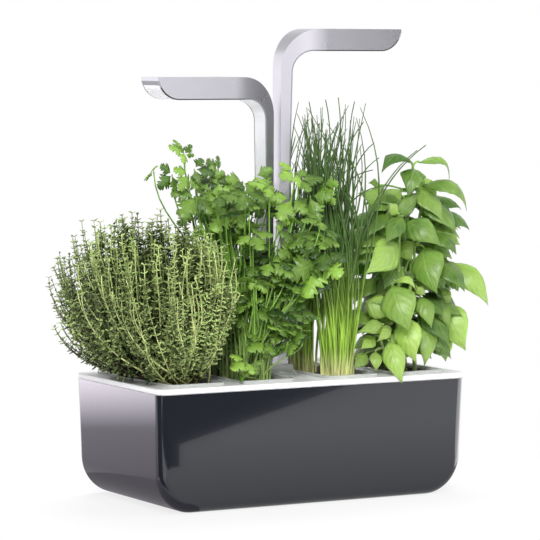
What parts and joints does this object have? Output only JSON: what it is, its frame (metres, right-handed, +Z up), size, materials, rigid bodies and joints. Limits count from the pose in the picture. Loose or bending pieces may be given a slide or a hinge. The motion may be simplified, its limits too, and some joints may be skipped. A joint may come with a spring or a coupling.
{
  "type": "countertop hydroponic garden",
  "caption": "Water tub with a lift-off deck that holds long herb pods in slots, two sliding L-shaped grow lamps on a central mast, a filler flap and a float level rod.",
  "frame": {"origin": "centre of the tub's underside, where it rests on the worktop", "axes": "+X to the garden's right along its long side, +Y to its back, +Z up"},
  "size_m": [0.428, 0.204, 0.4405],
  "materials": {
    "tub_gloss": "gloss",
    "tank_plastic": "satin",
    "deck_white": "satin",
    "tray_clear": "gloss",
    "growing_medium": "matte",
    "felt": "matte",
    "thyme_leaf": "matte",
    "parsley_leaf": "matte",
    "chives_leaf": "matte",
    "basil_leaf": "satin",
    "lamp_metal": "satin",
    "lamp_frame_dark": "matte",
    "opal_white": "satin",
    "dark_plastic": "satin",
    "board_white": "satin",
    "board_green": "satin",
    "led_yellow": "gloss",
    "steel": "satin",
    "rubber_black": "matte",
    "housing_plastic": "satin",
    "float_white": "matte",
    "indicator_green": "gloss"
  },
  "bodies": {
    "garden": {"outer_shell": "tub_gloss", "water_tank": "tank_plastic", "power_inlet": "dark_plastic", "deck": "deck_white", "flap_pin": "steel", "wicks": "felt", "mast_housing": "housing_plastic", "housing_gasket": "rubber_black", "housing_screws": "steel", "left_friction_shoe": "rubber_black", "right_friction_shoe": "rubber_black", "control_board": "board_green", "board_screws": "steel", "indicator_light": "indicator_green", "float_guide": "dark_plastic", "float_stop": "dark_plastic", "thyme_tray": "tray_clear", "thyme_growing_block": "growing_medium", "thyme_plant": "thyme_leaf", "parsley_tray": "tray_clear", "parsley_growing_block": "growing_medium", "parsley_plant": "parsley_leaf", "chives_tray": "tray_clear", "chives_growing_block": "growing_medium", "chives_plant": "chives_leaf", "basil_tray": "tray_clear", "basil_growing_block": "growing_medium", "basil_plant": "basil_leaf"},
    "left_lamp": {"left_lamp_shell": "lamp_metal", "left_lamp_frame": "lamp_frame_dark", "left_diffuser": "opal_white", "left_post_cover": "opal_white", "left_post_cap": "dark_plastic", "left_led_board": "board_white", "left_leds": "led_yellow", "left_lamp_screws": "steel"},
    "right_lamp": {"right_lamp_shell": "lamp_metal", "right_lamp_frame": "lamp_frame_dark", "right_diffuser": "opal_white", "right_post_cover": "opal_white", "right_post_cap": "dark_plastic", "right_led_board": "board_white", "right_leds": "led_yellow", "right_lamp_screws": "steel"},
    "flap": {"filler_flap": "deck_white"},
    "button": {"light_button": "deck_white"},
    "float": {"water_float": "float_white"}
  },
  "joints": [
    {"name": "left_lamp_height", "type": "slide", "parent": "garden", "child": "left_lamp", "axis": [0, 0, 1], "range_m": [-0.03, 0.0455]},
    {"name": "right_lamp_height", "type": "slide", "parent": "garden", "child": "right_lamp", "axis": [0, 0, 1], "range_m": [-0.038, 0]},
    {"name": "filler_flap_hinge", "type": "hinge", "parent": "garden", "child": "flap", "pos_m": [0, 0.0754, 0.1177], "axis": [-1, 0, 0], "range_deg": [0, 100]},
    {"name": "light_button_press", "type": "slide", "parent": "garden", "child": "button", "axis": [0, 0, 1], "range_m": [-0.0008, 0], "stiffness_N_per_m": 400, "springref_m": 0.0006},
    {"name": "water_float_rise", "type": "slide", "parent": "garden", "child": "float", "axis": [0, 0, 1], "range_m": [0, 0.055]}
  ]
}
